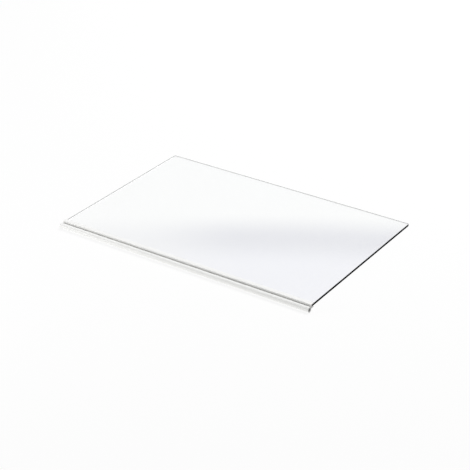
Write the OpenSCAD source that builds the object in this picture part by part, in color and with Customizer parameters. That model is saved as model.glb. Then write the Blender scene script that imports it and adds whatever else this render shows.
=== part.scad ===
// Cover for a fridge's crisper drawer: a toughened glass panel with a hollow plastic trim along its front edge.
// Millimetres, +Z up, X along the trim, front towards -Y.
// Origin: under the middle of the whole cover, level with the lowest line of the trim's nose.

/* [Glass panel] */
// Width of the glass from side to side
glass_w = 470; // [380:1:560]
// Depth of the glass from its front edge, inside the trim, to its back edge
glass_d = 306; // [240:1:400]
// Thickness of the glass
glass_t = 4; // [3:0.1:6]
// Radius of its four corners, seen from above
corner_r = 3; // [2:0.5:12]
// Width of the ground chamfer that takes the sharpness off every edge
arris = 0.5; // [0.2:0.1:1]

/* [Trim grip] */
// Thickness of the web that the front edge of the glass stands against
web_t = 1.4; // [1:0.1:3]
// Thickness of the upper and the lower lip
lip_t = 1.2; // [0.8:0.1:2]
// How far the upper lip reaches back from the web, over the glass
upper_reach = 6; // [3:0.1:10]
// How far the lower lip reaches back from the web, under the glass
lower_reach = 5.6; // [3:0.1:12]
// Space between each lip and the glass, which the grip ribs bridge
lip_gap = 0.3; // [0.1:0.05:0.6]
// Rounding of the upper front edge of the grip
brow_r = 0.5; // [0.2:0.1:0.8]

/* [Grip ribs] */
// Width of a grip rib at its foot on the lip
rib_w = 0.8; // [0.5:0.1:1.2]
// Width of the flat crest that bears on the glass
rib_crest = 0.3; // [0.1:0.05:0.5]
// Distance from one rib to the next
rib_pitch = 1.3; // [1.2:0.1:2]
// Distance from the web to the first rib
rib_start = 0.9; // [0.6:0.1:1.5]

/* [Trim nose] */
// Outer radius of the round nose
nose_r = 4.4; // [3.6:0.1:6]
// Wall of the nose around its hollow
nose_wall = 1.3; // [0.8:0.1:2]
// How far the centre of the nose lies in front of the web
nose_forward = 4.2; // [3:0.1:5]
// How far the centre of the nose lies below the middle of the glass
nose_drop = 3.5; // [2:0.1:5]
// Fillet at the bottom of the groove between the nose and the web
groove_fillet = 0.4; // [0.2:0.1:1]
// Fillet under the lower lip, where it runs into the nose
root_fillet = 0.8; // [0.3:0.1:1.5]
// How far each end of the trim stands past the side of the glass
end_over = 0.4; // [0:0.1:3]

/* [Hidden] */
$fn = 96;

trim_len = glass_w + 2 * end_over;
nose_reach = nose_forward + nose_r;
overall_d = nose_reach + web_t + glass_d;
// Half heights of the slot for the glass and of the grip around it, from the middle of the glass
slot_h = glass_t / 2 + lip_gap;
grip_h = slot_h + lip_t;
// Centres of the nose and of the two circles that round its neck: one touches the nose and the web,
// the other the nose and the underside of the lower lip
function leg(hypotenuse, other) = sqrt(max(hypotenuse * hypotenuse - other * other, 0));
nose_at = [-nose_forward, -nose_drop];
groove_at = [-groove_fillet, leg(nose_r + groove_fillet, nose_forward - groove_fillet) - nose_drop];
root_at = [
    leg(nose_r + root_fillet, grip_h + root_fillet - nose_drop) - nose_forward,
    -grip_h - root_fillet
];
// Heights and places of the trim's front face and of the glass in the cover's own frame
web_y = nose_reach - overall_d / 2;
glass_z = nose_drop + nose_r;
glass_y = web_y + web_t + glass_d / 2;

// Edge section of the glass: a sheet of width w with an arris on each of its four long edges
function arrised(w) = [
    [-w / 2, arris - glass_t / 2], [arris - w / 2, -glass_t / 2],
    [w / 2 - arris, -glass_t / 2], [w / 2, arris - glass_t / 2],
    [w / 2, glass_t / 2 - arris], [w / 2 - arris, glass_t / 2],
    [arris - w / 2, glass_t / 2], [-w / 2, glass_t / 2 - arris]
];

// One rounded corner: a disc whose rim has the same arris as the straight edges
module corner_disc() {
    rotate_extrude()
        polygon([
            [0, -glass_t / 2], [corner_r - arris, -glass_t / 2], [corner_r, arris - glass_t / 2],
            [corner_r, glass_t / 2 - arris], [corner_r - arris, glass_t / 2], [0, glass_t / 2]
        ]);
}

module glass_panel() {
    color("paleturquoise", 0.4)
        translate([0, glass_y, glass_z])
            union() {
                rotate([90, 0, 90])
                    linear_extrude(glass_w - 2 * corner_r, center = true)
                        polygon(arrised(glass_d));
                rotate([90, 0, 0])
                    linear_extrude(glass_d - 2 * corner_r, center = true)
                        polygon(arrised(glass_w));
                for (x = [-1, 1], y = [-1, 1])
                    translate([x * (glass_w / 2 - corner_r), y * (glass_d / 2 - corner_r), 0])
                        corner_disc();
            }
}

// The trim's section is drawn with its web's front face on the vertical axis, the glass to the right,
// and the middle of the glass on the horizontal axis.

// A lip above the slot, with a full round at its free end
module lip(reach) {
    translate([web_t / 2, slot_h])
        square([web_t / 2 + reach - lip_t / 2, lip_t]);
    translate([web_t + reach - lip_t / 2, slot_h + lip_t / 2])
        circle(d = lip_t);
}

// Barbs under a lip: steep towards the web, sloping towards the mouth, so that the glass slides in and stays
module grip_ribs(reach) {
    last = reach - lip_t / 2 - rib_w;
    for (y = [rib_start:rib_pitch:last])
        translate([web_t + y, slot_h])
            polygon([[0, lip_t / 2], [0, -lip_gap], [rib_crest, -lip_gap], [rib_w, 0], [rib_w, lip_t / 2]]);
}

// The web between the lips, its upper front edge rounded
module web() {
    difference() {
        translate([0, -grip_h])
            square([web_t, 2 * grip_h]);
        translate([0, grip_h - brow_r])
            difference() {
                square(brow_r);
                translate([brow_r, 0])
                    circle(r = brow_r);
            }
    }
}

module nose_disc(r) {
    translate(nose_at)
        circle(r = r);
}

// Neck between the nose and the grip, with a corner at the centre of each of its two fillets
module neck() {
    polygon([nose_at, [web_t / 2, -slot_h], [web_t / 2, groove_at[1]], groove_at]);
    polygon([nose_at, root_at, [root_at[0], lip_t / 2 - grip_h]]);
}

module trim_section() {
    difference() {
        union() {
            nose_disc(nose_r);
            neck();
            web();
            lip(upper_reach);
            mirror([0, 1])
                lip(lower_reach);
        }
        translate([web_t, -slot_h])
            square([glass_d, 2 * slot_h]);
        nose_disc(nose_r - nose_wall);
        translate(groove_at)
            circle(r = groove_fillet);
        translate(root_at)
            circle(r = root_fillet);
    }
    grip_ribs(upper_reach);
    mirror([0, 1])
        grip_ribs(lower_reach);
}

module front_trim() {
    color("whitesmoke")
        translate([0, web_y, glass_z])
            rotate([90, 0, 90])
                linear_extrude(trim_len, center = true)
                    trim_section();
}

glass_panel();
front_trim();
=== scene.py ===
import math

import bmesh
import bpy
from mathutils import Matrix, Vector


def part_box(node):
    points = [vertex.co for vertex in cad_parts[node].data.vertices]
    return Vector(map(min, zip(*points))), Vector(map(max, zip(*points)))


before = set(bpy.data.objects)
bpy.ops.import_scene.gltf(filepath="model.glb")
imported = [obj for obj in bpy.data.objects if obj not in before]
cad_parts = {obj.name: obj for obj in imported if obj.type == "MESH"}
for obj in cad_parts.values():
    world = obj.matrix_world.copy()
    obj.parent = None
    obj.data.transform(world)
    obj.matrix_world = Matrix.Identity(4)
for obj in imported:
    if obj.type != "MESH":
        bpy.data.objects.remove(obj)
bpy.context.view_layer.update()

mm = 0.001  # a millimetre in Blender's metres

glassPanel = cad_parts["glass_panel"]
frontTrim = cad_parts["front_trim"]
glassLow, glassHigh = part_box("glass_panel")
print("frame loaded: glass and trim")


# Helpers

def srgb(hexColour):
    # #rrggbb as the linear colour that Blender's sockets take
    parts = [int(hexColour[i:i + 2], 16) / 255 for i in (1, 3, 5)]
    return (*[p / 12.92 if p <= 0.04045 else ((p + 0.055) / 1.055) ** 2.4 for p in parts], 1.0)


def addNode(tree, kind, settings, inputs):
    # one node, its settings and what goes into it: a value, or another node's output to plug in
    node = tree.nodes.new(kind)
    for key, value in settings.items():
        setattr(node, key, value)
    for name, value in inputs.items():
        if isinstance(value, bpy.types.NodeSocket):
            tree.links.new(value, node.inputs[name])
        else:
            node.inputs[name].default_value = value
    return node


def emptyMaterial(name):
    material = bpy.data.materials.new(name)
    material.use_nodes = True
    material.node_tree.nodes.clear()
    return material, material.node_tree


def dress(piece, material):
    piece.data.materials.clear()
    piece.data.materials.append(material)


# Glass panel

glassLook = {
    "ior": 1.52,
    "bodyTint": "#a2c0bc",  # what white light turns to on its way through the absorbing depth below
    "density": 8.0,  # absorption per metre
    "edgeLevel": 0.9,  # a face whose normal is less upright than this counts as an edge
    "edgeLossAndShade": 0.38,  # share of black mixed onto the ground edges: partly light they lose, partly painted shade
    "edgeShadeColour": "#000000",  # the colour of that share
    "grindPitch": 0.8 * mm,  # between grinding marks, coarser than real ones so that they show
    "grindDepth": 0.02 * mm,
    "grindStrength": 0.15,
    "lampTint": "#ffffff",  # what white lamplight turns to on its way through to the floor
}


def toughenedFloatGlass(look):
    # Toughened float glass: clear, hardly tinted over 4 mm, dark green where light runs along the sheet.
    # The faces are fire-polished, so they mirror sharply. The ground edges have black mixed in, partly
    # the light they lose and partly painted shade: the near ones show as dark lines and the far ones
    # as thin grey ones, a little uneven.
    material, tree = emptyMaterial("toughenedFloatGlass")
    place = addNode(tree, "ShaderNodeTexCoord", {}, {}).outputs["Object"]
    normal = addNode(tree, "ShaderNodeNewGeometry", {}, {}).outputs["True Normal"]
    up = addNode(tree, "ShaderNodeSeparateXYZ", {}, {"Vector": normal}).outputs["Z"]
    flatness = addNode(tree, "ShaderNodeMath", {"operation": "ABSOLUTE"}, {0: up}).outputs[0]
    onEdge = addNode(tree, "ShaderNodeMath", {"operation": "LESS_THAN"}, {
        0: flatness, 1: look["edgeLevel"]}).outputs[0]
    marks = addNode(tree, "ShaderNodeTexNoise", {}, {
        "Vector": place, "Scale": 1 / look["grindPitch"],
        "Detail": 3.0, "Roughness": 0.6}).outputs["Fac"]
    grind = addNode(tree, "ShaderNodeMath", {"operation": "MULTIPLY"}, {0: marks, 1: onEdge}).outputs[0]
    bump = addNode(tree, "ShaderNodeBump", {}, {
        "Height": grind, "Strength": look["grindStrength"],
        "Distance": look["grindDepth"]}).outputs["Normal"]
    sheet = addNode(tree, "ShaderNodeBsdfPrincipled", {}, {
        "Base Color": srgb("#ffffff"), "Roughness": 0.0, "IOR": look["ior"],
        "Transmission Weight": 1.0, "Normal": bump}).outputs[0]
    # painted shade: black mixed onto the edges by this share, partly light the ground edges lose
    edgeShadeShare = addNode(tree, "ShaderNodeMath", {"operation": "MULTIPLY"}, {
        0: onEdge, 1: look["edgeLossAndShade"]}).outputs[0]
    dark = addNode(tree, "ShaderNodeBsdfDiffuse", {}, {"Color": srgb(look["edgeShadeColour"])}).outputs[0]
    glass = addNode(tree, "ShaderNodeMixShader", {}, {0: edgeShadeShare, 1: sheet, 2: dark}).outputs[0]
    clear = addNode(tree, "ShaderNodeBsdfTransparent", {}, {"Color": srgb(look["lampTint"])}).outputs[0]
    path = addNode(tree, "ShaderNodeLightPath", {}, {})
    # light from the lamps, and what the floor and the trim gather, goes straight through
    passing = addNode(tree, "ShaderNodeMath", {"operation": "MAXIMUM"}, {
        0: path.outputs["Is Shadow Ray"], 1: path.outputs["Is Diffuse Ray"]}).outputs[0]
    surface = addNode(tree, "ShaderNodeMixShader", {}, {0: passing, 1: glass, 2: clear}).outputs[0]
    body = addNode(tree, "ShaderNodeVolumeAbsorption", {}, {
        "Color": srgb(look["bodyTint"]), "Density": look["density"]}).outputs[0]
    addNode(tree, "ShaderNodeOutputMaterial", {}, {"Surface": surface, "Volume": body})
    return material


dress(glassPanel, toughenedFloatGlass(glassLook))
print("glass panel dressed")


# Front trim

trimLook = {
    "colour": "#f8f8f6",
    # painted shade: the sawn ends are painted this darker grey
    "cutShadeColour": "#b8b8b6",  # of the sawn ends
    "cutLevel": 0.9,  # a face whose normal lies more along the trim than this counts as sawn
    "ior": 1.53,
    "roughness": 0.38,
    "dieLinePitch": 1.0 * mm,  # coarser than real die lines, which would be too fine to show
    "dieLineStretch": 250,  # times as long as they are wide
    "dieLineDepth": 0.03 * mm,
    "dieLineStrength": 0.5,
    "mottlePitch": 16 * mm,  # size of the patches that are a little shinier or duller
    "mottleSpan": (0.3, 0.7),  # the noise's usual low and high
    "shinier": 0.04,  # taken off the roughness at the low
    "duller": 0.05,  # added to it at the high
    # painted shade in the groove and the hollow: the colour is darkened where ambient occlusion finds
    # walls near
    "recessSamples": 16,
    "recessReach": 8 * mm,  # how near another wall has to be to make a spot part of a recess
    "paintedShadeTones": ((0.1, "#303030"), (0.28, "#e4e4e4"), (0.9, "#ffffff")),  # from shut in to open
}


def extrudedWhitePvc(look):
    # Rigid white PVC pushed through a die: satin, with faint straight lines along its length and sawn
    # ends painted grey as painted shade. Painted shade also darkens the groove and the hollow.
    material, tree = emptyMaterial("extrudedWhitePvc")
    place = addNode(tree, "ShaderNodeTexCoord", {}, {}).outputs["Object"]
    along = addNode(tree, "ShaderNodeMapping", {}, {
        "Vector": place, "Scale": (1 / look["dieLineStretch"], 1.0, 1.0)}).outputs["Vector"]
    dieLines = addNode(tree, "ShaderNodeTexNoise", {}, {
        "Vector": along, "Scale": 1 / look["dieLinePitch"],
        "Detail": 2.0, "Roughness": 0.55}).outputs["Fac"]
    mottle = addNode(tree, "ShaderNodeTexNoise", {}, {
        "Vector": place, "Scale": 1 / look["mottlePitch"],
        "Detail": 3.0, "Roughness": 0.5}).outputs["Fac"]
    normal = addNode(tree, "ShaderNodeNewGeometry", {}, {}).outputs["True Normal"]
    sideways = addNode(tree, "ShaderNodeSeparateXYZ", {}, {"Vector": normal}).outputs["X"]
    endness = addNode(tree, "ShaderNodeMath", {"operation": "ABSOLUTE"}, {0: sideways}).outputs[0]
    onCut = addNode(tree, "ShaderNodeMath", {"operation": "GREATER_THAN"}, {
        0: endness, 1: look["cutLevel"]}).outputs[0]
    # painted shade: the sawn ends take the darker cut colour
    colour = addNode(tree, "ShaderNodeMix", {"data_type": "RGBA"}, {
        0: onCut, 6: srgb(look["colour"]), 7: srgb(look["cutShadeColour"])}).outputs[2]
    # painted shade: ambient occlusion, through the tone ramp, darkens the colour in the groove and the
    # hollow
    openness = addNode(tree, "ShaderNodeAmbientOcclusion", {
        "samples": look["recessSamples"], "only_local": True}, {
        "Distance": look["recessReach"]}).outputs["AO"]
    paintedRecessShade = addNode(tree, "ShaderNodeValToRGB", {}, {"Fac": openness})
    (shutIn, darkest), (between, softer), (openAir, unshaded) = look["paintedShadeTones"]
    tones = paintedRecessShade.color_ramp.elements
    tones[0].position = shutIn
    tones[0].color = srgb(darkest)
    tones[1].position = openAir
    tones[1].color = srgb(unshaded)
    tones.new(between).color = srgb(softer)
    colour = addNode(tree, "ShaderNodeMix", {"data_type": "RGBA", "blend_type": "MULTIPLY"}, {
        0: 1.0, 6: colour, 7: paintedRecessShade.outputs["Color"]}).outputs[2]
    usualLow, usualHigh = look["mottleSpan"]
    rough = addNode(tree, "ShaderNodeMapRange", {}, {
        "Value": mottle, "From Min": usualLow, "From Max": usualHigh,
        "To Min": look["roughness"] - look["shinier"],
        "To Max": look["roughness"] + look["duller"]}).outputs["Result"]
    bump = addNode(tree, "ShaderNodeBump", {}, {
        "Height": dieLines, "Strength": look["dieLineStrength"],
        "Distance": look["dieLineDepth"]}).outputs["Normal"]
    plastic = addNode(tree, "ShaderNodeBsdfPrincipled", {}, {
        "Base Color": colour, "Roughness": rough, "IOR": look["ior"], "Normal": bump}).outputs[0]
    addNode(tree, "ShaderNodeOutputMaterial", {}, {"Surface": plastic})
    return material


dress(frontTrim, extrudedWhitePvc(trimLook))
print("front trim dressed")


# Floor: a plain white sheet that the nose of the trim and the back edge of the glass both stand on

floorSetup = {
    "size": 12.0,  # metres
    "colour": "#fcfcfc",
    "white": 0.8,  # share of its whiteness that comes through from below, where nothing shades it
    "mirrored": "#303030",  # what polished glass mirrors in its place, as of a dark room around the table
    "gap": 0.02 * mm,  # between it and the cover
}


def paperSweep(setup):
    # Matt white paper over a light table: even and white, with only faint shadows
    material, tree = emptyMaterial("paperSweep")
    sheet = addNode(tree, "ShaderNodeBsdfDiffuse", {}, {"Color": srgb(setup["colour"])}).outputs[0]
    below = addNode(tree, "ShaderNodeEmission", {}, {"Color": srgb("#ffffff")}).outputs[0]
    paper = addNode(tree, "ShaderNodeMixShader", {}, {0: setup["white"], 1: sheet, 2: below}).outputs[0]
    path = addNode(tree, "ShaderNodeLightPath", {}, {})
    mirrored = addNode(tree, "ShaderNodeMath", {"operation": "SUBTRACT", "use_clamp": True}, {
        0: path.outputs["Is Singular Ray"], 1: path.outputs["Is Transmission Ray"]}).outputs[0]
    dark = addNode(tree, "ShaderNodeEmission", {}, {"Color": srgb(setup["mirrored"])}).outputs[0]
    surface = addNode(tree, "ShaderNodeMixShader", {}, {0: mirrored, 1: paper, 2: dark}).outputs[0]
    addNode(tree, "ShaderNodeOutputMaterial", {}, {"Surface": surface})
    return material


def makeFloor(setup):
    noseLine = min(frontTrim.data.vertices, key=lambda v: v.co.z).co
    slope = math.atan2(glassLow.z - noseLine.z, glassHigh.y - noseLine.y)
    sheet = bmesh.new()
    bmesh.ops.create_grid(sheet, x_segments=1, y_segments=1, size=setup["size"] / 2)
    bmesh.ops.rotate(sheet, verts=sheet.verts, cent=(0, 0, 0), matrix=Matrix.Rotation(slope, 3, "X"))
    bmesh.ops.translate(sheet, verts=sheet.verts, vec=(0, noseLine.y, noseLine.z - setup["gap"]))
    mesh = bpy.data.meshes.new("floor")
    sheet.to_mesh(mesh)
    sheet.free()
    floor = bpy.data.objects.new("floor", mesh)
    bpy.context.scene.collection.objects.link(floor)
    dress(floor, paperSweep(setup))


makeFloor(floorSetup)
print("floor laid")


# Studio light

studio = {
    "fill": 0.43,  # strength of the room's even light
    # The wall that the glass mirrors, by degrees above the floor: white, a dark band, then a soft shade
    "shadeFrom": 27.35,
    "shadeFull": 28.45,
    "shadeFaded": 29.6,
    "shadeDark": "#686a9c",
    "shadeSoft": "#d1d1ec",
    "shadeTurn": 33.9,  # degrees round from +X, the side on which the shade is deepest
    "shadeLeft": -0.08,  # where it starts to deepen, from -1 on the other side to 1 on that side
    "shadeRight": 0.01,  # where it is full
    "shadeLeast": 0.35,  # its share before it deepens
}


def firstSight(tree, path):
    # two switches, off for light that matt surfaces gather: the first is on for all that the camera sees,
    # the second for what it sees mirrored or through glass
    direct = addNode(tree, "ShaderNodeMath", {"operation": "LESS_THAN"}, {
        0: path.outputs["Diffuse Depth"], 1: 0.5}).outputs[0]
    bounced = addNode(tree, "ShaderNodeMath", {"operation": "MAXIMUM"}, {
        0: path.outputs["Is Glossy Ray"], 1: path.outputs["Is Transmission Ray"]}).outputs[0]
    shiny = addNode(tree, "ShaderNodeMath", {"operation": "MULTIPLY"}, {0: bounced, 1: direct}).outputs[0]
    seen = addNode(tree, "ShaderNodeMath", {"operation": "MAXIMUM"}, {
        0: path.outputs["Is Camera Ray"], 1: shiny}).outputs[0]
    return seen, shiny


def makeWorld(setup):
    world = bpy.data.worlds.new("studio")
    bpy.context.scene.world = world
    world.use_nodes = True
    tree = world.node_tree
    tree.nodes.clear()
    path = addNode(tree, "ShaderNodeLightPath", {}, {})
    seen, shiny = firstSight(tree, path)
    way = addNode(tree, "ShaderNodeTexCoord", {}, {}).outputs["Generated"]
    height = addNode(tree, "ShaderNodeSeparateXYZ", {}, {"Vector": way}).outputs["Z"]
    low, full, faded = [
        math.sin(math.radians(setup[name])) for name in ("shadeFrom", "shadeFull", "shadeFaded")]
    level = addNode(tree, "ShaderNodeMapRange", {}, {
        "Value": height, "From Min": low, "From Max": faded}).outputs["Result"]
    wall = addNode(tree, "ShaderNodeValToRGB", {}, {"Fac": level})
    ramp = wall.color_ramp
    ramp.interpolation = "EASE"
    ramp.elements[0].color = srgb("#ffffff")
    ramp.elements[1].color = srgb(setup["shadeSoft"])
    ramp.elements.new((full - low) / (faded - low)).color = srgb(setup["shadeDark"])
    facing = math.radians(setup["shadeTurn"])
    aside = addNode(tree, "ShaderNodeVectorMath", {"operation": "DOT_PRODUCT"}, {
        0: way, 1: (math.cos(facing), math.sin(facing), 0)}).outputs["Value"]
    deep = addNode(tree, "ShaderNodeMapRange", {"interpolation_type": "SMOOTHSTEP"}, {
        "Value": aside, "From Min": setup["shadeLeft"], "From Max": setup["shadeRight"],
        "To Min": setup["shadeLeast"], "To Max": 1.0}).outputs["Result"]
    shade = addNode(tree, "ShaderNodeMath", {"operation": "MULTIPLY"}, {0: deep, 1: shiny}).outputs[0]
    colour = addNode(tree, "ShaderNodeMix", {"data_type": "RGBA"}, {
        0: shade, 6: srgb("#ffffff"), 7: wall.outputs["Color"]}).outputs[2]
    strength = addNode(tree, "ShaderNodeMix", {"data_type": "FLOAT"}, {
        0: seen, 2: setup["fill"], 3: 1.0}).outputs[0]
    light = addNode(tree, "ShaderNodeBackground", {}, {"Color": colour, "Strength": strength}).outputs[0]
    addNode(tree, "ShaderNodeOutputWorld", {}, {"Surface": light})


lamps = {
    # a wide panel above and behind the cover and a small one low in front of the trim, in metres and watts
    "ceilingPanel": {"place": (0.3, 1.8, 3.0), "aim": (0.0, 0.0, 0.0), "size": 2.0, "power": 86.0},
    "noseLamp": {"place": (-0.7, -0.9, 0.17), "aim": (-0.1, -0.15, 0.0), "size": 0.3, "power": 2.8},
}


def makeLamp(name, setup):
    light = bpy.data.lights.new(name, "AREA")
    light.shape = "SQUARE"
    light.size = setup["size"]
    light.energy = setup["power"]
    lamp = bpy.data.objects.new(name, light)
    lamp.location = setup["place"]
    beam = Vector(setup["aim"]) - Vector(setup["place"])
    lamp.rotation_euler = beam.to_track_quat("-Z", "Y").to_euler()
    bpy.context.scene.collection.objects.link(lamp)


makeWorld(studio)
for lampName, lampSetup in lamps.items():
    makeLamp(lampName, lampSetup)
print("studio lit")


# Camera: solved from the four corners of the glass

shot = {
    "azimuth": 33.947,  # degrees round from the front
    "elevation": 28.316,
    "distance": 2.2309,  # metres
    "lens": 105.24,  # millimetres, as is the sensor across the square frame
    "sensor": 36,
    "near": 0.05,  # metres, as is far
    "far": 50,
    "aimBehindMiddle": 4.7 * mm,
    "slideRight": -1.91 * mm,
    "slideUp": -18.65 * mm,
}


def makeCamera(setup):
    azimuth, elevation = math.radians(setup["azimuth"]), math.radians(setup["elevation"])
    right = Vector((math.cos(azimuth), math.sin(azimuth), 0))
    back = Vector((math.sin(azimuth) * math.cos(elevation), -math.cos(azimuth) * math.cos(elevation),
                   math.sin(elevation)))
    up = back.cross(right)
    middle = (glassHigh.z + glassLow.z) / 2
    target = Vector((0, setup["aimBehindMiddle"], middle))
    data = bpy.data.cameras.new("camera")
    data.sensor_width = setup["sensor"]
    data.lens = setup["lens"]
    data.clip_start = setup["near"]
    data.clip_end = setup["far"]
    camera = bpy.data.objects.new("camera", data)
    place = target + back * setup["distance"] + right * setup["slideRight"] + up * setup["slideUp"]
    camera.matrix_world = Matrix.Translation(place) @ Matrix((right, up, back)).transposed().to_4x4()
    bpy.context.scene.collection.objects.link(camera)
    bpy.context.scene.camera = camera


makeCamera(shot)
bpy.context.scene.view_settings.view_transform = "Standard"
print("camera set")
